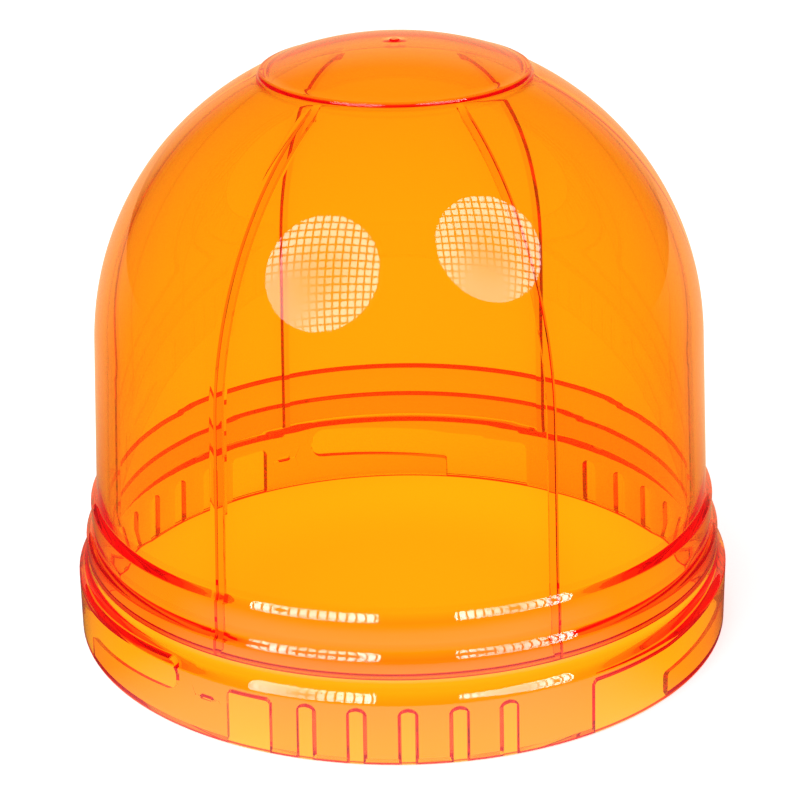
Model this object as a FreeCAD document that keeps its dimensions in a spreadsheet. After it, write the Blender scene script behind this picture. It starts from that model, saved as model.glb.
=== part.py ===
import FreeCAD, Part
import math
import os
import Sketcher

# Lens of a rotating beacon: one hollow moulding in clear amber polycarbonate.
# The dome runs down into a wall with three stepped bands. The lowest band, the skirt, goes over
# the lamp's base and turns onto its lugs. Six ribs inside stiffen the wall.
# Frame: Z is the lens's axis, pointing up, and the origin is the middle of the rim that it stands on.
# Millimetres and degrees. A direction is the angle about Z from +X.

NODE = "beacon_lens"

SIZES = [
    # dome and wall
    ("dome_radius", 68.2, "outside radius of the domed top"),
    ("dome_centre", 66.5, "height of the dome's centre above the rim"),
    ("wall_slope", 0.048, "how much wider the wall gets for each millimetre down"),
    ("wall", 2.5, "thickness of the dome and its wall"),
    # three stepped bands at the foot, each under a rounded shoulder
    ("skirt_height", 12.8, "height of the skirt, up to its shoulder"),
    ("skirt_step", 2.15, "how far the skirt stands out from the middle band"),
    ("skirt_round", 4.1, "radius of the skirt's shoulder"),
    ("middle_height", 5.0, "height of the middle band between two shoulders"),
    ("middle_step", 1.5, "how far the middle band stands out from the upper one"),
    ("middle_round", 3.4, "radius of the middle band's shoulder"),
    ("upper_height", 5.25, "height of the upper band between two shoulders"),
    ("upper_step", 1.45, "how far the upper band stands out from the wall"),
    ("upper_round", 4.2, "radius of the upper band's shoulder"),
    ("rim_bevel", 0.4, "bevel on the rim's outer edge"),
    # socket that goes over the lamp's base, with a ledge for the gasket at its end
    ("socket_wall", 1.66, "thickness of the middle band outside the socket"),
    ("ledge_rise", 2.0, "how far the ledge lies above the skirt's shoulder"),
    # raised crown disc with the mark of the moulding gate
    ("crown_radius", 29.8, "radius of the raised disc on top"),
    ("crown_rise", 1.2, "height of the disc's bevelled edge"),
    ("gate_radius", 1.1, "radius of the gate mark"),
    ("gate_rise", 0.3, "height of the gate mark"),
    # ribs inside the wall and dome
    ("rib_count", 6, "number of ribs"),
    ("rib_width", 2.1, "width of a rib"),
    ("rib_depth", 1.2, "how far a rib stands out from the inner wall"),
    ("rib_inset", 0.8, "how far a rib runs in under the crown disc"),
    # recesses in the socket's wall, the same in each sector: window, flutes, bayonet, catch
    ("sector_count", 3, "number of sectors"),
    ("sector_start", -117.4, "direction of the first window's near side"),
    ("seat_length", 6.3, "plain wall between the recesses and the ledge"),
    ("window_angle", 7.9, "angle that the window takes"),
    ("bayonet_depth", 1.3, "depth of the window and of the bayonet entry and slot"),
    ("flute_count", 5, "number of flutes in a sector"),
    ("flute_gap", 6.2, "angle from the window to the middle of the first flute"),
    ("flute_pitch", 8.4, "angle from flute to flute"),
    ("flute_width", 4.4, "width of a flute"),
    ("flute_depth", 1.1, "depth of a flute"),
    ("entry_gap", 15.6, "angle from the last flute's middle to the bayonet entry"),
    ("entry_angle", 17.4, "angle that the bayonet entry takes"),
    ("slot_angle", 28.7, "angle that the bayonet slot takes beyond its entry"),
    ("slot_floor", 5.4, "height of the slot's lower edge"),
    ("slot_round", 2.6, "rounding of the slot's closed end"),
    ("corner_round", 1.0, "rounding of the other corners"),
    ("catch_gap", 5.0, "angle from the slot's end to the catch dimple"),
    ("catch_angle", 2.6, "angle that the dimple takes"),
    ("catch_floor", 8.0, "height of the dimple's lower edge"),
    ("catch_height", 1.0, "height that the dimple takes"),
    ("catch_depth", 0.5, "depth of the dimple"),
]

doc = FreeCAD.newDocument("beacon")
sheet = doc.addObject("Spreadsheet::Sheet", "sizes")
for row, (alias, value, note) in enumerate(SIZES, start=1):
    sheet.set(f"A{row}", alias)
    sheet.set(f"B{row}", str(value))
    sheet.setAlias(f"B{row}", alias)
    sheet.set(f"C{row}", note)
doc.recompute()


def number(formula):
    """The value that a formula of sizes has now."""
    return float(sheet.evalExpression(formula))


# What follows from the sizes, as formulas for setExpression.
def shoulder_rise(band):
    """Height of a band's rounded shoulder."""
    return f"sqrt(sizes.{band}_step * (2 * sizes.{band}_round - sizes.{band}_step))"


SLANT = "sqrt(1 + sizes.wall_slope ^ 2)"
SKIRT_TOP = "sizes.skirt_height"
MIDDLE_FOOT = f"({SKIRT_TOP} + {shoulder_rise('skirt')})"
MIDDLE_TOP = f"({MIDDLE_FOOT} + sizes.middle_height)"
UPPER_FOOT = f"({MIDDLE_TOP} + {shoulder_rise('middle')})"
UPPER_TOP = f"({UPPER_FOOT} + sizes.upper_height)"
WALL_FOOT = f"({UPPER_TOP} + {shoulder_rise('upper')})"


def wall_radius(dome, height):
    """Distance from the axis of the sloping wall that runs into a dome of this radius."""
    return f"({dome} * {SLANT} + (sizes.dome_centre - {height}) * sizes.wall_slope)"


def wall_end(dome):
    """Corner where the sloping wall runs into a dome of this radius."""
    return f"({dome} / {SLANT})", f"(sizes.dome_centre + {dome} * sizes.wall_slope / {SLANT})"


def dome_height(dome, distance):
    """Height of a dome at this distance from the axis."""
    return f"(sizes.dome_centre + sqrt({dome} ^ 2 - {distance} ^ 2))"


OUTER_DOME = "sizes.dome_radius"
INNER_DOME = "(sizes.dome_radius - sizes.wall)"
WALL_RADIUS = wall_radius(OUTER_DOME, WALL_FOOT)
UPPER_RADIUS = f"({WALL_RADIUS} + sizes.upper_step)"
MIDDLE_RADIUS = f"({UPPER_RADIUS} + sizes.middle_step)"
SKIRT_RADIUS = f"({MIDDLE_RADIUS} + sizes.skirt_step)"

SOCKET_RADIUS = f"({MIDDLE_RADIUS} - sizes.socket_wall)"
LEDGE = f"({MIDDLE_FOOT} + sizes.ledge_rise)"
RECESS_TOP = f"({LEDGE} - sizes.seat_length)"
CATCH_TOP = "(sizes.catch_floor + sizes.catch_height)"

CROWN_FOOT = dome_height(OUTER_DOME, "sizes.crown_radius")
CROWN_EDGE = f"({CROWN_FOOT} + sizes.crown_rise)"
CROWN_FLAT = "(sizes.crown_radius - sizes.crown_rise)"
CROWN_TOP = "(sizes.dome_centre + sizes.dome_radius)"
CROWN_CURVE = f"(({CROWN_FLAT} ^ 2 + ({CROWN_TOP} - {CROWN_EDGE}) ^ 2) / (2 * ({CROWN_TOP} - {CROWN_EDGE})))"

WINDOW_START = "sizes.sector_start"
WINDOW_END = f"({WINDOW_START} + sizes.window_angle)"
FIRST_FLUTE = f"({WINDOW_END} + sizes.flute_gap)"
LAST_FLUTE = f"({FIRST_FLUTE} + (sizes.flute_count - 1) * sizes.flute_pitch)"
ENTRY_START = f"({LAST_FLUTE} + sizes.entry_gap)"
ENTRY_END = f"({ENTRY_START} + sizes.entry_angle)"
SLOT_END = f"({ENTRY_END} + sizes.slot_angle)"
CATCH_START = f"({SLOT_END} + sizes.catch_gap)"
CATCH_END = f"({CATCH_START} + sizes.catch_angle)"


# Sketches. A loop's corners are (label, x, y), and (label, x, y, arc) where an arc starts there.
# An arc is (centre x, centre y, radius, "left" or "right" of the way that the loop runs).
def origin_item(body, role):
    return next(item for item in body.Origin.OriginFeatures if item.Role == role)


def new_sketch(body, name, role="XZ_Plane", direction=None):
    """A sketch on one of the body's own planes, turned about Z where a direction is given."""
    sketch = body.newObject("Sketcher::SketchObject", name)
    sketch.AttachmentSupport = [(origin_item(body, role), "")]
    sketch.MapMode = "FlatFace"
    if direction:
        up = FreeCAD.Vector(0, 1, 0)
        turn = FreeCAD.Rotation(up, number(direction))
        sketch.AttachmentOffset = FreeCAD.Placement(FreeCAD.Vector(), turn)
        sketch.setExpression("AttachmentOffset.Rotation.Angle", direction)
    return sketch


def arc_of(start, end, centre, side):
    """An arc round a centre that lies to the left or right of the way from start to end."""
    circle = Part.Circle(centre, FreeCAD.Vector(0, 0, 1), (start - centre).Length)
    angles = [math.atan2(point.y - centre.y, point.x - centre.x) for point in (start, end)]
    if side == "right":
        angles.reverse()
    return Part.ArcOfCircle(circle, *angles)


def hold(sketch, axis, segment, end, label, formula):
    """Fix one coordinate of a segment's end to a formula, or to the sketch's axis where it is zero."""
    value = number(formula)
    if value == 0:
        line = -2 if axis == "X" else -1
        sketch.addConstraint(Sketcher.Constraint("PointOnObject", segment, end, line))
        return
    ends = (-1, 1, segment, end) if value > 0 else (segment, end, -1, 1)
    index = sketch.addConstraint(Sketcher.Constraint(f"Distance{axis}", *ends, abs(value)))
    sketch.renameConstraint(index, label)
    sketch.setExpression(f"Constraints.{label}", f"abs({formula})")


def draw(sketch, corners):
    """Close a loop through the corners, with every size bound to its formula."""
    points = [FreeCAD.Vector(number(corner[1]), number(corner[2]), 0) for corner in corners]
    arcs = [corner[3] if len(corner) > 3 else None for corner in corners]
    for here, arc in enumerate(arcs):
        start, end = points[here], points[(here + 1) % len(points)]
        if arc:
            centre = FreeCAD.Vector(number(arc[0]), number(arc[1]), 0)
            sketch.addGeometry(arc_of(start, end, centre, arc[3]))
        else:
            sketch.addGeometry(Part.LineSegment(start, end))
    # an arc round a centre on the right is stored the other way round, so its start is end 2
    starts = [2 if arc and arc[3] == "right" else 1 for arc in arcs]
    for here, arc in enumerate(arcs):
        label, x, y = corners[here][:3]
        after = (here + 1) % len(corners)
        meeting = Sketcher.Constraint("Coincident", here, 3 - starts[here], after, starts[after])
        sketch.addConstraint(meeting)
        hold(sketch, "X", here, starts[here], f"{label}_x", x)
        hold(sketch, "Y", here, starts[here], f"{label}_y", y)
        if arc:
            index = sketch.addConstraint(Sketcher.Constraint("Radius", here, number(arc[2])))
            sketch.renameConstraint(index, f"{label}_round")
            sketch.setExpression(f"Constraints.{label}_round", arc[2])


# Features, each compared with the body's volume before it.
def volume_of(body):
    return 0 if body.Shape.isNull() else body.Shape.Volume


def settle(body, feature, volume):
    """Recompute, and stop unless the feature adds or takes away what its kind says."""
    doc.recompute()
    grows = feature.TypeId in ("PartDesign::Pad", "PartDesign::Revolution")
    change = volume_of(body) - volume
    if change == 0 or (change > 0) != grows:
        raise RuntimeError(f"{feature.Name} changed the volume by {change} cubic millimetres")


def revolve(body, kind, name, sketch, angle):
    """A Revolution or Groove about Z, half to each side of its sketch."""
    volume = volume_of(body)
    feature = body.newObject(f"PartDesign::{kind}", name)
    feature.Profile = sketch
    feature.ReferenceAxis = (sketch, ["V_Axis"])
    feature.Midplane = True
    feature.Angle = number(angle)
    feature.setExpression("Angle", angle)
    settle(body, feature, volume)
    return feature


def repeat(body, name, originals, count):
    """A full circle of copies about Z."""
    pattern = body.newObject("PartDesign::PolarPattern", name)
    pattern.Originals = originals
    pattern.Axis = (origin_item(body, "Z_Axis"), [""])
    pattern.Angle = 360
    pattern.Occurrences = int(number(count))
    pattern.setExpression("Occurrences", count)
    body.Tip = pattern
    doc.recompute()


def make_shell(body):
    """The wall from the rim over the three bands to the crown, and back down inside to the ledge."""
    rim_foot = f"({SKIRT_RADIUS} - sizes.rim_bevel)"

    def shoulder(band, edge, top):
        radius = f"sizes.{band}_round"
        return f"({edge} - {radius})", top, radius, "left"

    sketch = new_sketch(body, "shell_profile")
    draw(sketch, [
        ("mouth", SOCKET_RADIUS, "0"),
        ("rim", rim_foot, "0"),
        ("skirt_foot", SKIRT_RADIUS, "sizes.rim_bevel"),
        ("skirt_top", SKIRT_RADIUS, SKIRT_TOP, shoulder("skirt", SKIRT_RADIUS, SKIRT_TOP)),
        ("middle_foot", MIDDLE_RADIUS, MIDDLE_FOOT),
        ("middle_top", MIDDLE_RADIUS, MIDDLE_TOP, shoulder("middle", MIDDLE_RADIUS, MIDDLE_TOP)),
        ("upper_foot", UPPER_RADIUS, UPPER_FOOT),
        ("upper_top", UPPER_RADIUS, UPPER_TOP, shoulder("upper", UPPER_RADIUS, UPPER_TOP)),
        ("wall_foot", WALL_RADIUS, WALL_FOOT),
        ("wall_top", *wall_end(OUTER_DOME), ("0", "sizes.dome_centre", OUTER_DOME, "left")),
        ("crown_foot", "sizes.crown_radius", CROWN_FOOT),
        ("crown_edge", CROWN_FLAT, CROWN_EDGE, ("0", f"({CROWN_TOP} - {CROWN_CURVE})", CROWN_CURVE, "left")),
        ("crown_top", "0", CROWN_TOP),
        ("inside_top", "0", f"(sizes.dome_centre + {INNER_DOME})",
         ("0", "sizes.dome_centre", INNER_DOME, "right")),
        ("inside_wall", *wall_end(INNER_DOME)),
        ("ledge_inside", wall_radius(INNER_DOME, LEDGE), LEDGE),
        ("ledge_outside", SOCKET_RADIUS, LEDGE),
    ])
    revolve(body, "Revolution", "shell", sketch, "360")


def make_gate_mark(body):
    """The round trace that the moulding gate leaves in the middle of the crown."""
    foot, top = f"({CROWN_TOP} - sizes.gate_rise)", f"({CROWN_TOP} + sizes.gate_rise)"
    sketch = new_sketch(body, "gate_profile")
    draw(sketch, [
        ("foot_middle", "0", foot),
        ("foot_edge", "sizes.gate_radius", foot),
        ("top_edge", "sizes.gate_radius", top),
        ("top_middle", "0", top),
    ])
    revolve(body, "Revolution", "gate_mark", sketch, "360")


def make_ribs(body):
    """Ribs from the ledge up the wall and over the dome, to just under the crown disc's edge."""
    face = f"({INNER_DOME} - sizes.rib_depth)"
    root = f"({INNER_DOME} + sizes.wall / 2)"
    end = "(sizes.crown_radius - sizes.rib_inset)"
    toe = f"({end} + sizes.rib_depth)"
    sketch = new_sketch(body, "rib_profile")
    draw(sketch, [
        ("face_foot", wall_radius(face, LEDGE), LEDGE),
        ("root_foot", wall_radius(root, LEDGE), LEDGE),
        ("root_wall", *wall_end(root), ("0", "sizes.dome_centre", root, "left")),
        ("root_end", end, dome_height(root, end)),
        ("face_end", toe, dome_height(face, toe), ("0", "sizes.dome_centre", face, "right")),
        ("face_wall", *wall_end(face)),
    ])
    volume = volume_of(body)
    rib = body.newObject("PartDesign::Pad", "rib")
    rib.Profile = sketch
    rib.Midplane = True
    rib.Length = number("sizes.rib_width")
    rib.setExpression("Length", "sizes.rib_width")
    settle(body, rib, volume)
    repeat(body, "ribs", [rib], "sizes.rib_count")


def make_flute(body, place):
    """A round-topped flute in the socket's wall, open at the rim. Place 0 is the one by the window."""
    half = "(sizes.flute_width / 2)"
    spring = f"({RECESS_TOP} - {half})"
    arch = ("0", spring, half, "left")
    direction = f"({FIRST_FLUTE} + {place} * sizes.flute_pitch)"
    sketch = new_sketch(body, f"flute_{place}_profile", "YZ_Plane", direction)
    draw(sketch, [
        ("foot_left", f"-{half}", "0"),
        ("foot_right", half, "0"),
        ("arch_right", half, spring, arch),
        ("arch_top", "0", RECESS_TOP, arch),
        ("arch_left", f"-{half}", spring),
    ])
    volume = volume_of(body)
    flute = body.newObject("PartDesign::Pocket", f"flute_{place}")
    flute.Profile = sketch
    flute.Reversed = True
    flute.Length = number(f"{SOCKET_RADIUS} + sizes.flute_depth")
    flute.setExpression("Length", f"{SOCKET_RADIUS} + sizes.flute_depth")
    settle(body, flute, volume)
    return flute


def make_recess(body, name, start, end, floor, top, depth):
    """A shallow recess in the socket's wall, between two directions and two heights."""
    inside = f"({SOCKET_RADIUS} - {depth})"
    outside = f"({SOCKET_RADIUS} + {depth})"
    sketch = new_sketch(body, f"{name}_profile", direction=f"(({start} + {end}) / 2)")
    draw(sketch, [
        ("floor_inside", inside, floor),
        ("floor_outside", outside, floor),
        ("top_outside", outside, top),
        ("top_inside", inside, top),
    ])
    return revolve(body, "Groove", name, sketch, f"({end} - {start})")


def make_sectors(body):
    """Windows, flutes, bayonet entries with their slots and catch dimples, in every sector."""
    deep = "sizes.bayonet_depth"
    cuts = [make_flute(body, place) for place in range(int(number("sizes.flute_count")))]
    cuts += [
        make_recess(body, "window", WINDOW_START, WINDOW_END, "0", RECESS_TOP, deep),
        make_recess(body, "entry", ENTRY_START, ENTRY_END, "0", RECESS_TOP, deep),
        make_recess(body, "slot", ENTRY_END, SLOT_END, "sizes.slot_floor", RECESS_TOP, deep),
        make_recess(body, "catch", CATCH_START, CATCH_END, "sizes.catch_floor", CATCH_TOP,
                    "sizes.catch_depth"),
    ]
    repeat(body, "sectors", cuts, "sizes.sector_count")


def corner_edges(shape, direction, height):
    """Names of the short edges across the socket's wall at one direction and height of any sector."""
    sector = 360 / number("sizes.sector_count")
    near = 0.01
    names = []
    for index, edge in enumerate(shape.Edges, start=1):
        ends = [vertex.Point for vertex in edge.Vertexes]
        turns = [(math.degrees(math.atan2(end.y, end.x)) - number(direction)) % sector for end in ends]
        level = all(abs(end.z - number(height)) < near for end in ends)
        aligned = all(min(turn, sector - turn) < near for turn in turns)
        if len(ends) == 2 and level and aligned:
            names.append(f"Edge{index}")
    return names


def round_corners(body, name, corners, radius):
    """A fillet on the recess corners at each (direction, height)."""
    base = body.Tip
    edges = [edge for corner in corners for edge in corner_edges(base.Shape, *corner)]
    fillet = body.newObject("PartDesign::Fillet", name)
    fillet.Base = (base, edges)
    fillet.Radius = number(radius)
    fillet.setExpression("Radius", radius)
    doc.recompute()


body = doc.addObject("PartDesign::Body", NODE)
body.Label = NODE
body.Placement = FreeCAD.Placement()
make_shell(body)
make_gate_mark(body)
make_ribs(body)
make_sectors(body)
slot_limit = f"min(sizes.slot_round; ({RECESS_TOP} - sizes.slot_floor) * 0.45)"
round_corners(body, "slot_corners", [(SLOT_END, "sizes.slot_floor"), (SLOT_END, RECESS_TOP)], slot_limit)
round_corners(body, "recess_corners", [
    (WINDOW_START, RECESS_TOP),
    (WINDOW_END, RECESS_TOP),
    (ENTRY_START, RECESS_TOP),
    (ENTRY_END, "sizes.slot_floor"),
], "sizes.corner_round")

failed = [item.Name for item in doc.Objects if "Invalid" in item.State or "Error" in item.State]
if failed:
    raise RuntimeError(f"these objects failed: {failed}")
shape = body.Shape
if shape.isNull() or not shape.isValid() or len(shape.Solids) != 1:
    raise RuntimeError(f"{NODE} is not one valid solid")
os.makedirs("parts", exist_ok=True)
shape.exportStep(f"parts/{NODE}.step")
box = shape.optimalBoundingBox()
print(f"{NODE}: {box.XLength:.2f} x {box.YLength:.2f} x {box.ZLength:.2f} mm, {shape.Volume:.0f} cubic mm")
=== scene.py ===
import math

import bpy
import numpy
from mathutils import Matrix, Vector


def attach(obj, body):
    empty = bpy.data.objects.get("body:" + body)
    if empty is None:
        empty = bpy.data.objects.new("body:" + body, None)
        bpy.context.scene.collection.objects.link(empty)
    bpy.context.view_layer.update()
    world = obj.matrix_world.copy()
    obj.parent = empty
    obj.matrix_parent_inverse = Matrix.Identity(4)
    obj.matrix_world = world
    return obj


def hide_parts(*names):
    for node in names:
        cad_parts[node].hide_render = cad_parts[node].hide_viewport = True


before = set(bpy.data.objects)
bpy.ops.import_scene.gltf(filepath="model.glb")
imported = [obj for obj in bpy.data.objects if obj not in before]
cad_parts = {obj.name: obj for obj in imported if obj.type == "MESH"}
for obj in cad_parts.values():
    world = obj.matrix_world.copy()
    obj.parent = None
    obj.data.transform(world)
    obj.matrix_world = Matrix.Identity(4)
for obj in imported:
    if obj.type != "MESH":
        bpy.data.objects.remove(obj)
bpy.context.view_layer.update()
mm = 0.001


def addNode(tree, kind, **settings):
    node = tree.nodes.new(kind)
    for name, value in settings.items():
        setattr(node, name, value)
    return node


def feed(tree, node, **inputs):
    # each input gets a value, or a link where a socket is given; names as on the node, with _ for a space
    for name, value in inputs.items():
        key = int(name[1:]) if name[0] == "i" and name[1:].isdigit() else name.replace("_", " ")
        if isinstance(value, bpy.types.NodeSocket):
            tree.links.new(value, node.inputs[key])
        else:
            node.inputs[key].default_value = value


def calc(tree, operation, *values):
    node = addNode(tree, "ShaderNodeMath", operation=operation)
    feed(tree, node, **{f"i{place}": value for place, value in enumerate(values)})
    return node.outputs[0]


def look(obj, target):
    # turns a lamp so that it shines at the target
    obj.rotation_euler = (Vector(target) - obj.location).to_track_quat("-Z", "Y").to_euler()


# profile of the moulding, in millimetres and degrees
lens = dict(
    domeRadius=68.2, domeCentre=66.5, slope=0.048, wall=2.5,
    skirtRadius=74.97, skirtTop=13.9, skirtStep=2.15, skirtSlope=1.6, skirtSteep=38.0,
    middleTop=22.5, middleStep=1.5, middleSlope=1.6, middleSteep=44.5,
    upperTop=30.7, upperStep=1.45, upperSlope=1.66, upperSteep=42.0, edgeRound=0.9, rimRound=0.35,
    socketRadius=71.2, socketLean=3.2, ledge=18.4, ledgeBevel=(1.0, 0.35),
    crownRadius=29.8, crownRise=1.2, crownTop=134.7, gateRadius=1.1, gateTop=135.0,
)


def arc(x, z, radius, start, end, steps):
    # points round a centre from one angle to another, in degrees
    turns = [math.radians(start + (end - start) * step / steps) for step in range(steps + 1)]
    return [(x + radius * math.cos(turn), z + radius * math.sin(turn)) for turn in turns]


def straight(start, end, steps):
    # points between two ends, without the ends
    return [(start[0] + (end[0] - start[0]) * step / steps, start[1] + (end[1] - start[1]) * step / steps)
            for step in range(1, steps)]


def shoulder(radius, top, step, slope, steep):
    # a band's shoulder: a hollow curve out of the wall above, a straight slope and a round edge
    bend, cosSteep, sinSteep = lens["edgeRound"], math.cos(math.radians(steep)), math.sin(math.radians(steep))
    hollow = (step - slope * sinSteep) / (1 - cosSteep) - bend
    edge = (radius - bend + bend * cosSteep, top + bend * sinSteep)
    start = (edge[0] - slope * sinSteep, edge[1] + slope * cosSteep)
    middle = (start[0] + hollow * cosSteep, start[1] + hollow * sinSteep)
    upper = arc(*middle, hollow, 180, 180 + steep, 3 if hollow < 1 else 5)
    return upper + straight(start, edge, 3) + arc(radius - bend, top, bend, steep, 0, 4)


def outerProfile():
    # from the crown's middle down to the rim
    flat = lens["crownRadius"] - lens["crownRise"]
    foot = lens["domeCentre"] + math.sqrt(lens["domeRadius"] ** 2 - lens["crownRadius"] ** 2)
    rise = lens["crownTop"] - foot - lens["crownRise"]
    curve = (flat ** 2 + rise ** 2) / (2 * rise)
    reach = math.degrees(math.asin(flat / curve))
    gate = lens["gateRadius"]
    points = [(gate * 0.5, lens["gateTop"]), (gate * 0.8, lens["gateTop"]), (gate, lens["crownTop"] + 0.1)]
    points += [(gate * 1.2, lens["crownTop"] - 0.01)]
    points += arc(0, lens["crownTop"] - curve, curve, 87.5, 90 - reach, 16)
    points += arc(flat, foot, lens["crownRise"], 78, 6, 6)
    domeStart = math.degrees(math.acos((lens["crownRadius"] + 0.25) / lens["domeRadius"]))
    domeEnd = math.degrees(math.atan(lens["slope"]))
    points += arc(0, lens["domeCentre"], lens["domeRadius"], domeStart, domeEnd, 44)
    bands = [("upper", lens["skirtRadius"] - lens["skirtStep"] - lens["middleStep"]),
             ("middle", lens["skirtRadius"] - lens["skirtStep"]), ("skirt", lens["skirtRadius"])]
    for name, radius in bands:
        curve = shoulder(radius, *(lens[name + end] for end in ("Top", "Step", "Slope", "Steep")))
        points += straight(points[-1], curve[0], 7 if name == "upper" else 3) + curve
    points += straight(points[-1], (lens["skirtRadius"], lens["rimRound"]), 4)
    points += arc(lens["skirtRadius"] - lens["rimRound"], lens["rimRound"], lens["rimRound"], 0, -90, 4)
    return points


def innerProfile():
    # from the ledge's inner edge up to the middle under the crown
    radius = lens["domeRadius"] - lens["wall"]
    domeStart = math.degrees(math.atan(lens["slope"]))
    dome = arc(0, lens["domeCentre"], radius, domeStart, 88.5, 46)
    footRadius = radius * math.hypot(1, lens["slope"]) + (lens["domeCentre"] - lens["ledge"]) * lens["slope"]
    width, rise = lens["ledgeBevel"]
    edge = [(footRadius + width, lens["ledge"]), (footRadius + width / 2, lens["ledge"] + rise / 2)]
    edge += [(footRadius, lens["ledge"] + rise)]
    return edge + straight(edge[-1], dome[0], 11) + dome


# recesses of the socket wall, in millimetres, with directions in degrees
recess = dict(
    windowStart=-117.4, windowAngle=7.9, height=12.1, depth=1.3, cornerRound=1.0,
    firstFlute=-103.3, flutePitch=8.4, flutes=5, fluteWidth=4.4, fluteDepth=1.05, fluteCore=0.62,
    entryStart=-54.1, entryAngle=17.4, slotAngle=28.7, slotFloor=5.4, slotRound=2.6, slotClimb=2.2,
    catchStart=-3.0, catchAngle=2.6, catchFloor=8.0, catchTop=9.0, catchDepth=0.9,
    catchRound=0.45,
    draft=0.14, sideDraft=0.3, topDraft=0.34, reach=1.6, rimChamfer=0.7, sectorStart=-119.0, sectors=3,
)
rib = dict(count=6, shift=-0.25, sway=-0.75, width=1.8, depth=1.0, end=29.0, softness=0.16, swell=0.22,
           swellReach=6.0)
perDegree = lens["socketRadius"] * math.pi / 180
sharpAngle = 32
combLimit = 0.06  # a normal that turns further sideways belongs to an edge
poleReach = 0.0005
mergeDistance = 2e-7


def cornerDip(distance, radius):
    # how far an edge falls back near a rounded corner
    short = min(max(radius - distance, 0), radius)
    return radius - math.sqrt(radius ** 2 - short ** 2)


def bandCut(turn, start, angle, depth, edges):
    # depth of a recess with drafted ends at one direction, the heights it lies between, and the way to it
    length, draft = angle * perDegree, recess["sideDraft"]
    place = (turn - start) * perDegree
    outside = max(-place, place - length, 0)
    place = min(max(place, 0), length)
    floor, top = edges(place, length)
    return depth * max(1 - outside / draft, 0), floor, top, outside


def windowEdges(place, length):
    corner = recess["cornerRound"]
    return 0, recess["height"] - cornerDip(place, corner) - cornerDip(length - place, corner)


def entryEdges(place, length):
    return 0, recess["height"] - cornerDip(place, recess["cornerRound"])


def slotEdges(place, length):
    # the slot climbs towards its closed, round end
    climb, end = recess["slotClimb"] * place / length, cornerDip(length - place, recess["slotRound"])
    floor = recess["slotFloor"] + climb + end - cornerDip(place, recess["cornerRound"])
    return floor, recess["height"] + climb - end


def catchEdges(place, length):
    dip = cornerDip(place, recess["catchRound"]) + cornerDip(length - place, recess["catchRound"])
    return recess["catchFloor"] + dip, recess["catchTop"] - dip


def fluteCut(turn, middle):
    # a flute has a flat floor, sides that curve up and a round top
    half, core = recess["fluteWidth"] / 2, recess["fluteCore"]
    share = abs(turn - middle) * perDegree / half
    climb = min(max((share - core) / (1 - core), 0), 1)
    top = recess["height"] - half + half * math.sqrt(1 - min(share, 1) ** 2)
    return recess["fluteDepth"] * (1 - climb * climb * (3 - 2 * climb)), 0, top, max(share - 1, 0) * half


slotStart = recess["entryStart"] + recess["entryAngle"]
bands = [
    (recess["windowStart"], recess["windowAngle"], recess["depth"], windowEdges),
    (recess["entryStart"], recess["entryAngle"], recess["depth"], entryEdges),
    (slotStart, recess["slotAngle"], recess["depth"], slotEdges),
    (recess["catchStart"], recess["catchAngle"], recess["catchDepth"], catchEdges),
]
fluteMiddles = [recess["firstFlute"] + place * recess["flutePitch"] for place in range(recess["flutes"])]


def cutAt(turn):
    # the deepest recess at a direction; the plain wall beside a recess keeps the rows of its end
    cuts = [bandCut(turn, *band) for band in bands] + [fluteCut(turn, middle) for middle in fluteMiddles]
    depth, floor, top, outside = min(cuts, key=lambda cut: (-round(cut[0], 6), cut[3]))
    return (depth, floor, top) if outside < recess["reach"] else (0, 0, recess["height"])


def sectorColumns():
    # directions that the mesh's columns need: recess ends and corners, rib edges, and no gap too wide
    draft, corner = recess["sideDraft"], recess["cornerRound"]
    wanted = []
    for start, angle, _, edges in bands:
        length = angle * perDegree
        roundings = {
            windowEdges: (corner, corner), entryEdges: (corner, 0.0),
            slotEdges: (corner, recess["slotRound"]), catchEdges: (recess["catchRound"],) * 2,
        }[edges]
        places = [-1.5, -draft, -draft / 2, length + draft / 2, length + draft, length + 1.5]
        for size, edge, side in zip(roundings, (0, length), (1, -1)):
            places += [edge + side * size * share for share in (0, 0.08, 0.3, 0.65, 1)]
        if edges is entryEdges:
            places = [place for place in places if place <= length]
        if edges is slotEdges:
            places = [place for place in places if place > 0] + [0.02]
        wanted += [start + place / perDegree for place in places]
    half = recess["fluteWidth"] / 2
    for middle in fluteMiddles:
        wanted.append(middle)
        for share in (0.45, 0.63, 0.74, 0.86, 0.96, 1.02):
            wanted += [middle + share * half / perDegree, middle - share * half / perDegree]
    half, soft = rib["width"] / 2, rib["softness"]
    for place in (-2, -1, 0):
        sides = [half - soft, half, half + soft, 2.2, 3.6, 5.4]
        wanted += [ribMiddle(place) + side / perDegree for side in [0] + sides + [-side for side in sides]]
    first, last = recess["sectorStart"], recess["sectorStart"] + 360 / recess["sectors"]
    wanted = sorted(turn for turn in wanted if first + 0.1 < turn < last - 0.1) + [last]
    turns = [first]
    for turn in wanted:
        extra = int((turn - turns[-1]) / 2.4)
        turns += [turns[-1] + (turn - turns[-1]) * (step + 1) / (extra + 1) for step in range(extra)]
        if turn - turns[-1] > 0.03 or turn == last:
            turns.append(turn)
    return turns


def socketAt(height):
    # the socket's wall leans outwards towards the rim
    return lens["socketRadius"] + (lens["ledge"] - height) * math.tan(math.radians(lens["socketLean"]))


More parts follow.
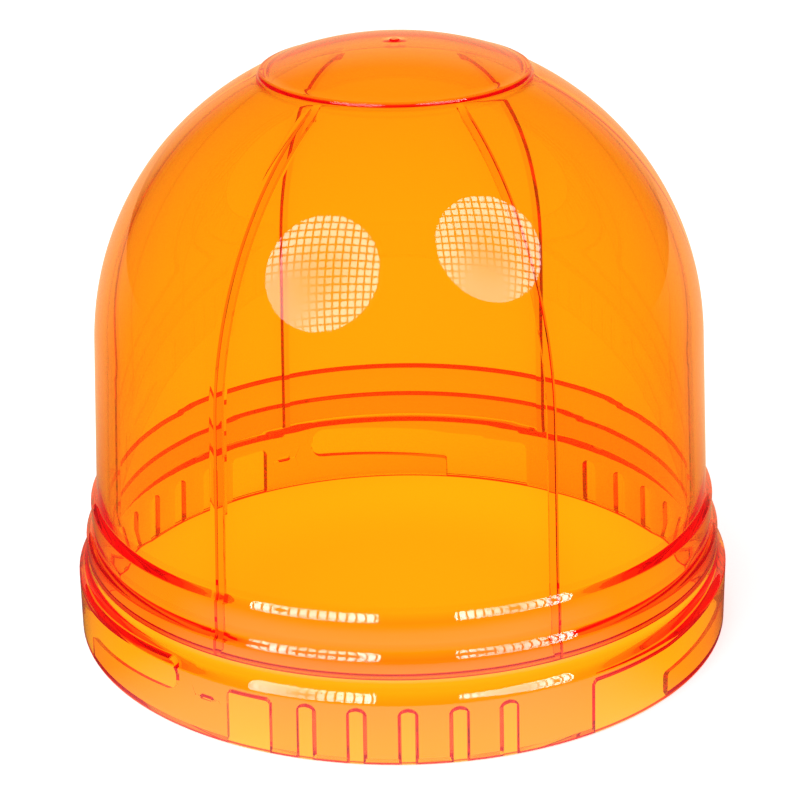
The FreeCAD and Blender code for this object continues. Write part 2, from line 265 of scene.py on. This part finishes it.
def socketRows(turn):
    # the socket's wall from the rim up to the ledge, as (radius, height) with the recess cut in
    depth, floor, top = cutAt(turn)
    draft, topDraft = recess["draft"], recess["topDraft"]
    low, high = max(floor, 1.0), max(top, 1.6)
    atRim = floor < 0.5
    chamfer = recess["rimChamfer"]
    heights = [0, chamfer, low - draft, low + draft]
    heights += [low + (high - low) * share for share in (0.25, 0.4, 0.55)]
    heights += [high - topDraft, high + topDraft * 0.4, (high + lens["ledge"]) / 2, lens["ledge"] - 0.4]
    rows = []
    for place, height in enumerate(heights):
        radius = socketAt(height)
        cut = depth if (3 <= place <= 7 or (atRim and place < 3)) else 0
        rows.append((radius + (max(cut, chamfer) if place == 0 else cut), height))
    ledge = lens["ledge"]
    inner = socketAt(ledge)
    return rows + [(inner - 0.12, ledge - 0.12), (inner - 0.4, ledge), (inner - 1.4, ledge)]


def ribMiddle(place):
    # direction of a rib, in degrees: every other one stands a little nearer to its neighbour
    return place * 360 / rib["count"] + rib["shift"] + rib["sway"] * (1 if place % 2 == 0 else -1)


def ribTurn(turn, radius):
    # keeps the columns beside a rib at one distance from its middle line while the radius shrinks
    outer, here = lens["socketRadius"], max(radius, rib["end"])
    place = round(turn * rib["count"] / 360)
    middle = ribMiddle(place)
    after = ribMiddle(place + 1 if turn > middle else place - 1)
    side = abs(turn - middle) * perDegree
    keep, half = rib["swellReach"] + 1.5, abs(after - middle) / 2 * perDegree
    if here >= outer:
        return math.radians(turn)
    if side <= keep:
        moved = side / here
    else:
        full = math.radians(abs(after - middle) / 2)
        moved = keep / here + (side - keep) / (half - keep) * (full - keep / here)
    return math.radians(middle) + math.copysign(moved, turn - middle)


def makeSector():
    # one third of the moulding as an open sheet: outside, rim, socket, ledge and inside
    outside, inside = outerProfile(), innerProfile()
    columns = sectorColumns()
    verts, insideWall = [], []
    rows = 0
    for direction in columns:
        section = outside + socketRows(direction) + inside
        rows = len(section)
        for place, (radius, height) in enumerate(section):
            turn = ribTurn(direction, radius)
            verts.append((radius * math.cos(turn) * mm, radius * math.sin(turn) * mm, height * mm))
            insideWall.append(1.0 if place >= rows - len(inside) else 0.0)
    faces = []
    for here in range(len(columns) - 1):
        for row in range(rows - 1):
            a, b = here * rows + row, (here + 1) * rows + row
            faces.append((a, a + 1, b + 1, b))
    insideTop = lens["domeCentre"] + lens["domeRadius"] - lens["wall"]
    poles = [(0, 0, lens["gateTop"] * mm), (0, 0, insideTop * mm)]
    for pole, row in zip(poles, (0, rows - 1)):
        verts.append(pole)
        insideWall.append(0.0)
        for here in range(len(columns) - 1):
            a, b = here * rows + row, (here + 1) * rows + row
            faces.append((a, b, len(verts) - 1) if row == 0 else (b, a, len(verts) - 1))
    mesh = bpy.data.meshes.new("lensSector")
    mesh.from_pydata(verts, [], faces)
    mesh.attributes.new("insideWall", "FLOAT", "POINT").data.foreach_set("value", insideWall)
    print("sector:", len(columns), "columns,", rows, "rows")
    return mesh


def lensTree(material):
    # raises the ribs on the inside wall, then repeats the sector round the axis
    tree = bpy.data.node_groups.new("ribbedLens", "GeometryNodeTree")
    tree.interface.new_socket("Geometry", in_out="INPUT", socket_type="NodeSocketGeometry")
    sizes = [("Rib Count", "Int"), ("Rib Shift", "Float"), ("Rib Sway", "Float"), ("Rib Width", "Float"),
             ("Rib Depth", "Float"), ("Rib End", "Float"), ("Rib Softness", "Float"), ("Swell", "Float"),
             ("Swell Reach", "Float"),
             ("Dome Centre", "Float"), ("Sector Count", "Int"), ("Merge Distance", "Float")]
    for name, kind in sizes:
        tree.interface.new_socket(name, in_out="INPUT", socket_type="NodeSocket" + kind)
    tree.interface.new_socket("Geometry", in_out="OUTPUT", socket_type="NodeSocketGeometry")
    given = addNode(tree, "NodeGroupInput").outputs
    position = addNode(tree, "GeometryNodeInputPosition").outputs[0]
    parts = addNode(tree, "ShaderNodeSeparateXYZ")
    feed(tree, parts, Vector=position)
    x, y, z = parts.outputs
    turn = calc(tree, "ARCTAN2", y, x)
    spacing = calc(tree, "DIVIDE", 2 * math.pi, given["Rib Count"])
    place = calc(tree, "ROUND", calc(tree, "DIVIDE", turn, spacing))
    swing = calc(tree, "COSINE", calc(tree, "MULTIPLY", place, math.pi))
    sway = calc(tree, "ADD", calc(tree, "MULTIPLY", swing, given["Rib Sway"]), given["Rib Shift"])
    nearest = calc(tree, "ADD", calc(tree, "MULTIPLY", place, spacing), sway)
    radius = calc(tree, "SQRT", calc(tree, "ADD", calc(tree, "MULTIPLY", x, x), calc(tree, "MULTIPLY", y, y)))
    side = calc(tree, "ABSOLUTE", calc(
        tree, "MULTIPLY", radius, calc(tree, "SINE", calc(tree, "SUBTRACT", turn, nearest))))
    half = calc(tree, "MULTIPLY", given["Rib Width"], 0.5)
    body = addNode(tree, "ShaderNodeMapRange", interpolation_type="SMOOTHSTEP")
    feed(tree, body, Value=side, From_Min=calc(tree, "SUBTRACT", half, given["Rib Softness"]),
         From_Max=calc(tree, "ADD", half, given["Rib Softness"]), To_Min=1.0, To_Max=0.0)
    ending = addNode(tree, "ShaderNodeMapRange")
    feed(tree, ending, Value=radius, From_Min=given["Rib End"],
         From_Max=calc(tree, "ADD", given["Rib End"], given["Rib Depth"]))
    beside = addNode(tree, "ShaderNodeMapRange")
    feed(tree, beside, Value=side, From_Min=half, From_Max=calc(tree, "ADD", half, given["Swell Reach"]),
         To_Min=1.0, To_Max=0.0)
    swell = calc(tree, "MULTIPLY", calc(tree, "POWER", beside.outputs[0], 2.0), given["Swell"])
    height = calc(tree, "ADD", calc(tree, "MULTIPLY", body.outputs[0], given["Rib Depth"]), swell)
    share = addNode(tree, "GeometryNodeInputNamedAttribute", data_type="FLOAT")
    feed(tree, share, Name="insideWall")
    where = calc(tree, "MULTIPLY", ending.outputs[0], share.outputs["Attribute"])
    height = calc(tree, "MULTIPLY", height, where)
    inward = addNode(tree, "ShaderNodeCombineXYZ")
    feed(tree, inward, Z=calc(tree, "MINIMUM", z, given["Dome Centre"]))
    away = addNode(tree, "ShaderNodeVectorMath", operation="SUBTRACT")
    feed(tree, away, i0=inward.outputs[0], i1=position)
    unit = addNode(tree, "ShaderNodeVectorMath", operation="NORMALIZE")
    feed(tree, unit, i0=away.outputs[0])
    offset = addNode(tree, "ShaderNodeVectorMath", operation="SCALE")
    feed(tree, offset, i0=unit.outputs[0], Scale=height)
    raised = addNode(tree, "GeometryNodeSetPosition")
    feed(tree, raised, Geometry=given["Geometry"], Offset=offset.outputs[0])
    spots = addNode(tree, "GeometryNodeMeshLine")
    feed(tree, spots, Count=given["Sector Count"], Offset=(0, 0, 0))
    index = addNode(tree, "GeometryNodeInputIndex").outputs[0]
    turned = addNode(tree, "ShaderNodeCombineXYZ")
    sectorTurn = calc(tree, "DIVIDE", 2 * math.pi, given["Sector Count"])
    feed(tree, turned, Z=calc(tree, "MULTIPLY", index, sectorTurn))
    copies = addNode(tree, "GeometryNodeInstanceOnPoints")
    feed(tree, copies, Points=spots.outputs[0], Instance=raised.outputs[0], Rotation=turned.outputs[0])
    real = addNode(tree, "GeometryNodeRealizeInstances")
    feed(tree, real, Geometry=copies.outputs[0])
    merged = addNode(tree, "GeometryNodeMergeByDistance")
    feed(tree, merged, Geometry=real.outputs[0], Distance=given["Merge Distance"])
    finish = addNode(tree, "GeometryNodeSetMaterial")
    feed(tree, finish, Geometry=merged.outputs[0], Material=material)
    feed(tree, addNode(tree, "NodeGroupOutput"), Geometry=finish.outputs[0])
    return tree


def combNormals(mesh):
    # where the wall is round, its normals point exactly away from the axis however the columns are spaced
    spots = numpy.zeros(len(mesh.vertices) * 3)
    corners = numpy.zeros(len(mesh.loops) * 3)
    owners = numpy.zeros(len(mesh.loops), dtype=int)
    mesh.vertices.foreach_get("co", spots)
    mesh.corner_normals.foreach_get("vector", corners)
    mesh.loops.foreach_get("vertex_index", owners)
    spots, corners = spots.reshape(-1, 3)[owners], corners.reshape(-1, 3)
    away = numpy.maximum(numpy.hypot(spots[:, 0], spots[:, 1]), 1e-9)
    sideways = numpy.stack([-spots[:, 1] / away, spots[:, 0] / away, numpy.zeros(len(away))], axis=1)
    lean = (corners * sideways).sum(axis=1)
    lean[(numpy.abs(lean) > combLimit) | (away < poleReach)] = 0
    corners = corners - sideways * lean[:, None]
    corners /= numpy.linalg.norm(corners, axis=1)[:, None]
    mesh.normals_split_custom_set(corners.tolist())


def makeLens(material):
    draft = bpy.data.objects.new("lensDraft", makeSector())
    bpy.context.scene.collection.objects.link(draft)
    modifier = draft.modifiers.new("ribbedLens", "NODES")
    modifier.node_group = lensTree(material)
    values = {
        "Rib Count": rib["count"], "Rib Shift": math.radians(rib["shift"]),
        "Rib Sway": math.radians(rib["sway"]),
        "Rib Width": rib["width"] * mm, "Rib Depth": rib["depth"] * mm,
        "Rib End": rib["end"] * mm, "Rib Softness": rib["softness"] * mm, "Swell": rib["swell"] * mm,
        "Swell Reach": rib["swellReach"] * mm, "Dome Centre": lens["domeCentre"] * mm,
        "Sector Count": recess["sectors"], "Merge Distance": mergeDistance,
    }
    for item in modifier.node_group.interface.items_tree:
        if item.in_out == "INPUT" and item.name in values:
            modifier[item.identifier] = values[item.name]
    depsgraph = bpy.context.evaluated_depsgraph_get()
    mesh = bpy.data.meshes.new_from_object(draft.evaluated_get(depsgraph))
    bpy.data.objects.remove(draft)
    mesh.shade_smooth()
    mesh.set_sharp_from_angle(angle=math.radians(sharpAngle))
    combNormals(mesh)
    piece = bpy.data.objects.new("amberLens", mesh)
    bpy.context.scene.collection.objects.link(piece)
    print("lens:", len(mesh.vertices), "vertices,", len(mesh.polygons), "faces")
    return piece


# clear amber plastic
amber = dict(
    ior=1.58, roughness=0.008, density=2400.0, passes=(0.9994, 0.925, 0.0), shade=(1.0, 0.74, 0.3),
    grainSize=900.0,
)


def makeAmber():
    material = bpy.data.materials.new("clearAmber")
    material.use_nodes = True
    tree = material.node_tree
    tree.nodes.clear()
    place = addNode(tree, "ShaderNodeTexCoord").outputs["Object"]
    grain = addNode(tree, "ShaderNodeTexNoise")
    feed(tree, grain, Vector=place, Scale=amber["grainSize"], Detail=3.0)
    rough = addNode(tree, "ShaderNodeMapRange")
    feed(tree, rough, Value=grain.outputs[0], From_Min=0.35, From_Max=0.75,
         To_Min=amber["roughness"] * 0.5, To_Max=amber["roughness"] * 1.6)
    shader = addNode(tree, "ShaderNodeBsdfPrincipled")
    feed(tree, shader, Base_Color=(1, 1, 1, 1), IOR=amber["ior"], Transmission_Weight=1.0,
         Roughness=rough.outputs[0])
    clear = addNode(tree, "ShaderNodeBsdfTransparent")
    feed(tree, clear, Color=(*amber["shade"], 1))
    path = addNode(tree, "ShaderNodeLightPath").outputs
    passing = calc(tree, "MAXIMUM", path["Is Shadow Ray"], path["Is Diffuse Ray"])
    mix = addNode(tree, "ShaderNodeMixShader")
    feed(tree, mix, Fac=passing, i1=shader.outputs[0], i2=clear.outputs[0])
    inside = addNode(tree, "ShaderNodeVolumeAbsorption")
    feed(tree, inside, Color=(*amber["passes"], 1), Density=amber["density"])
    out = addNode(tree, "ShaderNodeOutputMaterial")
    feed(tree, out, Surface=mix.outputs[0], Volume=inside.outputs[0])
    return material


# floor and background; lengths in metres
studio = dict(
    floorRadius=3.0, floorGap=0.0001, floorColour=0.85,
    # floorGlow keeps the paper plain white for the camera; underGlow, wallGlow and farGlow are painted amber
    # light seen through the lens
    floorGlow=0.56, underGlow=0.42, wallGlow=0.12, farGlow=0.32,
    ambient=0.5, through=1.5, dim=0.06, beside=1.3,
    tint=(0.72, 0.62, 0.5), paintedAmberLight=(1.0, 0.7, 0.5), mirroredAmberGlow=(0.9, 0.61, 0.27), paintedRimGlow=(0.9, 0.03, 0.004),
    paintedRimInner=(0.0723, 0.0728), paintedRimOuter=(0.0750, 0.0753), wallSpan=(0.03, 0.068),
    rimSpan=(0.072, 0.076), besideSpan=(0.1, 0.145), backdropSpan=(0.75, 0.95), behindSpan=(0.25, 0.85),
    frontSpan=(-0.95, -0.45),
)


def ramp(tree, value, start, end):
    # a soft step from 0 to 1
    node = addNode(tree, "ShaderNodeMapRange", interpolation_type="SMOOTHSTEP")
    feed(tree, node, Value=value, From_Min=start, From_Max=end)
    return node.outputs[0]


def blend(tree, *parts):
    # the sum of colours, each times its share
    total = None
    for colour, share in parts:
        node = addNode(tree, "ShaderNodeVectorMath", operation="SCALE")
        feed(tree, node, i0=colour, Scale=share)
        if total is None:
            total = node.outputs[0]
        else:
            both = addNode(tree, "ShaderNodeVectorMath", operation="ADD")
            feed(tree, both, i0=total, i1=node.outputs[0])
            total = both.outputs[0]
    return total


def rayShares(tree):
    # the camera's own rays, rays that came through the lens, and rays that only its outer skin turned back
    path = addNode(tree, "ShaderNodeLightPath").outputs
    within = calc(tree, "MINIMUM", path["Transmission Depth"], 1.0)
    turnedBack = calc(tree, "MULTIPLY", path["Is Glossy Ray"], within)
    through = calc(tree, "MAXIMUM", path["Is Transmission Ray"], turnedBack)
    outer = calc(tree, "MULTIPLY", path["Is Glossy Ray"], calc(tree, "SUBTRACT", 1.0, within))
    passed = calc(tree, "MULTIPLY", through, studio["through"])
    return path["Is Camera Ray"], passed, outer, path["Is Diffuse Ray"]


def makeWorld():
    # the backdrop is bright behind the lens, and the room in front of it is dim
    world = bpy.data.worlds.new("studio")
    bpy.context.scene.world = world
    world.use_nodes = True
    tree = world.node_tree
    tree.nodes.clear()
    direction = addNode(tree, "ShaderNodeSeparateXYZ")
    feed(tree, direction, Vector=addNode(tree, "ShaderNodeTexCoord").outputs["Generated"])
    camera, through, outer, diffuse = rayShares(tree)
    # the outer skin's reflections see an amber glow behind the lens, which stands in for the lens's own light
    # on the backdrop
    behind = calc(tree, "MULTIPLY", outer, ramp(tree, direction.outputs[1], *studio["backdropSpan"]))
    plain = calc(tree, "ADD", calc(tree, "ADD", camera, calc(tree, "MULTIPLY", diffuse, studio["ambient"])),
                 calc(tree, "MULTIPLY", outer, studio["dim"]))
    glow = addNode(tree, "ShaderNodeBackground")
    feed(tree, glow, Color=blend(
        tree, ((1, 1, 1), plain), (studio["tint"], through), (studio["mirroredAmberGlow"], behind)))
    feed(tree, addNode(tree, "ShaderNodeOutputWorld"), Surface=glow.outputs[0])


def makeFloor():
    mesh = bpy.data.meshes.new("floor")
    size = studio["floorRadius"]
    corners = [(-size, -size, 0), (size, -size, 0), (size, size, 0), (-size, size, 0)]
    mesh.from_pydata(corners, [], [(0, 1, 2, 3)])
    floor = bpy.data.objects.new("floor", mesh)
    bpy.context.scene.collection.objects.link(floor)
    floor.location.z = -studio["floorGap"]
    material = bpy.data.materials.new("paper")
    material.use_nodes = True
    tree = material.node_tree
    tree.nodes.clear()
    place = addNode(tree, "ShaderNodeTexCoord").outputs["Object"]
    spot = addNode(tree, "ShaderNodeSeparateXYZ")
    feed(tree, spot, Vector=place)
    length = addNode(tree, "ShaderNodeVectorMath", operation="LENGTH")
    feed(tree, length, i0=place)
    away = length.outputs["Value"]
    camera, through, outer, _ = rayShares(tree)
    # under the rim the paper is painted with a deep red glow, seen only through the lens, that stands in for
    # the light the wall carries down; for all but camera rays its diffuse is switched off there, a painted
    # shade
    paintedRim = calc(tree, "MULTIPLY", ramp(tree, away, *studio["paintedRimInner"]), calc(
        tree, "SUBTRACT", 1.0, ramp(tree, away, *studio["paintedRimOuter"])))
    clear = calc(tree, "SUBTRACT", 1.0, paintedRim)
    bearing = calc(tree, "DIVIDE", spot.outputs[1], away)
    # painted reflections: in the outer skin's reflections the paper shows fixed glows instead of lamp light,
    # dim in general, amber behind the lens and bright near it towards the front
    behind = calc(tree, "MULTIPLY", outer, ramp(tree, bearing, *studio["behindSpan"]))
    front = calc(tree, "SUBTRACT", 1.0, ramp(tree, bearing, *studio["frontSpan"]))
    near = calc(tree, "SUBTRACT", 1.0, ramp(tree, away, *studio["besideSpan"]))
    beside = calc(tree, "MULTIPLY", calc(tree, "MULTIPLY", outer, front), calc(
        tree, "MULTIPLY", near, studio["beside"]))
    plain = calc(tree, "ADD", calc(tree, "MULTIPLY", camera, studio["floorGlow"]), calc(
        tree, "ADD", calc(tree, "MULTIPLY", outer, studio["dim"]), beside))
    # painted amber light: seen through the lens, the paper glows amber under the lens, brighter towards the
    # wall, and fainter beyond the rim
    inner = calc(tree, "ADD", studio["underGlow"], calc(
        tree, "MULTIPLY", ramp(tree, away, *studio["wallSpan"]), studio["wallGlow"]))
    beyond = addNode(tree, "ShaderNodeMix", data_type="FLOAT")
    feed(tree, beyond, i0=ramp(tree, away, *studio["rimSpan"]), i2=inner, i3=studio["farGlow"])
    level = beyond.outputs[0]
    lit = calc(tree, "MULTIPLY", calc(tree, "MULTIPLY", through, clear), level)
    glow = addNode(tree, "ShaderNodeEmission")
    feed(tree, glow, Color=blend(
        tree, ((1, 1, 1), plain), (studio["paintedAmberLight"], lit), (studio["mirroredAmberGlow"], behind),
        (studio["paintedRimGlow"], calc(tree, "MULTIPLY", through, paintedRim))))
    matt = addNode(tree, "ShaderNodeBsdfDiffuse")
    # the paper's diffuse is off under the rim for all but camera rays, a painted shade, and in the outer
    # skin's reflections, where the painted glows stand in
    paintedRimShade = calc(tree, "MULTIPLY", paintedRim, calc(tree, "SUBTRACT", 1.0, camera))
    paper = calc(tree, "MULTIPLY", calc(tree, "SUBTRACT", 1.0, paintedRimShade), calc(tree, "SUBTRACT", 1.0, outer))
    feed(tree, matt, Color=calc(tree, "MULTIPLY", paper, studio["floorColour"]))
    both = addNode(tree, "ShaderNodeAddShader")
    feed(tree, both, i0=matt.outputs[0], i1=glow.outputs[0])
    feed(tree, addNode(tree, "ShaderNodeOutputMaterial"), Surface=both.outputs[0])
    mesh.materials.append(material)


softboxes = [
    dict(name="softboxLeft", spot=(-0.0123, -0.0570, 0.1019), turn=-33.5, rise=40.2, size=0.669, roll=18.0,
         fade=(0.18, 0.3)),
    dict(name="softboxRight", spot=(0.0211, -0.0519, 0.1054), turn=51.7, rise=45.4, size=0.608, roll=-29.0,
         fade=(0.45, 0.14)),
]
softbox = dict(
    away=0.85, cells=15.0, bright=8.0, veil=3.6, core=0.55, low=2.1,
    thread=(0.07, 0.19), gridSpan=(0.12, 0.45), coreSpan=(0.06, 0.44), farSpan=(0.745, 0.765),
    highHalf=0.33, wideHalf=0.46, gain=4.0,
)


def makeSoftbox(box):
    # a round diffuser behind a square grid, seen only as a reflection
    data = bpy.data.lights.new(box["name"], "AREA")
    data.shape = "SQUARE"
    data.size = box["size"]
    data.energy = 1.0
    lamp = bpy.data.objects.new(box["name"], data)
    bpy.context.scene.collection.objects.link(lamp)
    turn, rise = math.radians(box["turn"]), math.radians(box["rise"])
    facing = Vector((math.cos(rise) * math.sin(turn), -math.cos(rise) * math.cos(turn), math.sin(rise)))
    lamp.location = Vector(box["spot"]) + facing * softbox["away"]
    look(lamp, box["spot"])
    roll = Matrix.Rotation(math.radians(box["roll"]), 3, "Z")
    lamp.rotation_euler = (lamp.rotation_euler.to_matrix() @ roll).to_euler()
    lamp.visible_diffuse = False
    lamp.visible_transmission = False
    data.use_nodes = True
    tree = data.node_tree
    tree.nodes.clear()
    across = addNode(tree, "ShaderNodeNewGeometry").outputs["Parametric"]
    spot = addNode(tree, "ShaderNodeSeparateXYZ")
    feed(tree, spot, Vector=across)
    cells = []
    for axis in (0, 1):
        wave = calc(tree, "PINGPONG", calc(tree, "MULTIPLY", spot.outputs[axis], softbox["cells"]), 0.5)
        cells.append(ramp(tree, wave, *softbox["thread"]))
    # the grid stands out on one side and melts away towards the other, and the middle is dimmer
    reach = addNode(tree, "ShaderNodeVectorMath", operation="DISTANCE")
    feed(tree, reach, i0=across, i1=(*box["fade"], 0))
    grid = ramp(tree, reach.outputs["Value"], *softbox["gridSpan"])
    cell = calc(tree, "MULTIPLY", cells[0], cells[1])
    level = addNode(tree, "ShaderNodeMix", data_type="FLOAT")
    feed(tree, level, i0=grid, i2=softbox["veil"], i3=calc(tree, "MULTIPLY", cell, softbox["bright"]))
    middle = addNode(tree, "ShaderNodeVectorMath", operation="DISTANCE")
    feed(tree, middle, i0=across, i1=(0.5, 0.5, 0))
    dimmer = addNode(tree, "ShaderNodeMapRange", interpolation_type="SMOOTHSTEP")
    feed(tree, dimmer, Value=middle.outputs["Value"], From_Min=softbox["coreSpan"][0],
         From_Max=softbox["coreSpan"][1], To_Min=softbox["core"])
    # the lamp shines harder on what lies further from it: seen from the front these are the shoulders,
    # and from other sides also the crown and the far side of the dome
    travelled = addNode(tree, "ShaderNodeLightPath").outputs["Ray Length"]
    offAxis = calc(tree, "MULTIPLY", middle.outputs["Value"], box["size"])
    squares = calc(tree, "SUBTRACT", calc(tree, "POWER", travelled, 2.0), calc(tree, "POWER", offAxis, 2.0))
    low = ramp(tree, squares, *softbox["farSpan"])
    strong = calc(tree, "ADD", calc(tree, "MULTIPLY", low, softbox["low"] - 1.0), 1.0)
    glow = addNode(tree, "ShaderNodeEmission")
    area = math.pi / 4 * box["size"] ** 2
    # what lies near mirrors a round opening, what lies further away a low wide one
    disc = calc(tree, "LESS_THAN", middle.outputs["Value"], 0.5)
    rise = calc(tree, "ABSOLUTE", calc(tree, "SUBTRACT", spot.outputs[1], 0.5))
    side = calc(tree, "ABSOLUTE", calc(tree, "SUBTRACT", spot.outputs[0], 0.5))
    wide = calc(tree, "MULTIPLY", calc(tree, "LESS_THAN", rise, softbox["highHalf"]),
                calc(tree, "LESS_THAN", side, softbox["wideHalf"]))
    opening = addNode(tree, "ShaderNodeMix", data_type="FLOAT")
    feed(tree, opening, i0=calc(tree, "GREATER_THAN", low, 0.5), i2=disc, i3=wide)
    shine = calc(tree, "MULTIPLY", calc(tree, "MULTIPLY", level.outputs[0], dimmer.outputs[0]), strong)
    shown = calc(tree, "MULTIPLY", shine, opening.outputs[0])
    feed(tree, glow, Strength=calc(tree, "MULTIPLY", shown, area * softbox["gain"]))
    feed(tree, addNode(tree, "ShaderNodeOutputLight"), Surface=glow.outputs[0])


key = dict(size=1.6, energy=16.0, spot=(-0.5, -0.6, 1.6))


def makeLights():
    data = bpy.data.lights.new("key", "AREA")
    data.shape, data.size, data.energy = "DISK", key["size"], key["energy"]
    lamp = bpy.data.objects.new("key", data)
    bpy.context.scene.collection.objects.link(lamp)
    lamp.location = key["spot"]
    look(lamp, (0, 0, 0))
    lamp.visible_glossy = False
    lamp.visible_transmission = False
    for box in softboxes:
        makeSoftbox(box)


view = dict(
    turn=3.0, pitch=22.494, roll=-0.888, away=0.5097, height=0.26205, lens=108.92, sensor=36, nearest=0.01,
)


def makeCamera():
    data = bpy.data.cameras.new("camera")
    data.lens, data.sensor_width = view["lens"], view["sensor"]
    data.clip_start = view["nearest"]
    camera = bpy.data.objects.new("camera", data)
    bpy.context.scene.collection.objects.link(camera)
    turn = math.radians(view["turn"])
    camera.location = (view["away"] * math.sin(turn), -view["away"] * math.cos(turn), view["height"])
    facing = Matrix.Rotation(turn, 3, "Z") @ Matrix.Rotation(math.radians(90 - view["pitch"]), 3, "X")
    camera.rotation_euler = (facing @ Matrix.Rotation(math.radians(view["roll"]), 3, "Z")).to_euler()
    bpy.context.scene.camera = camera


piece = makeLens(makeAmber())
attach(piece, "root")
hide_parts("beacon_lens")
print("stage: lens in amber plastic")
makeWorld()
makeFloor()
print("stage: background and floor")
makeLights()
makeCamera()
scene = bpy.context.scene
scene.view_settings.view_transform = "Standard"
# light that runs along inside the clear wall turns many times before it comes out
bounces = 96
scene.cycles.max_bounces = bounces
scene.cycles.transmission_bounces = bounces
scene.cycles.glossy_bounces = bounces
print("stage: lights and camera")
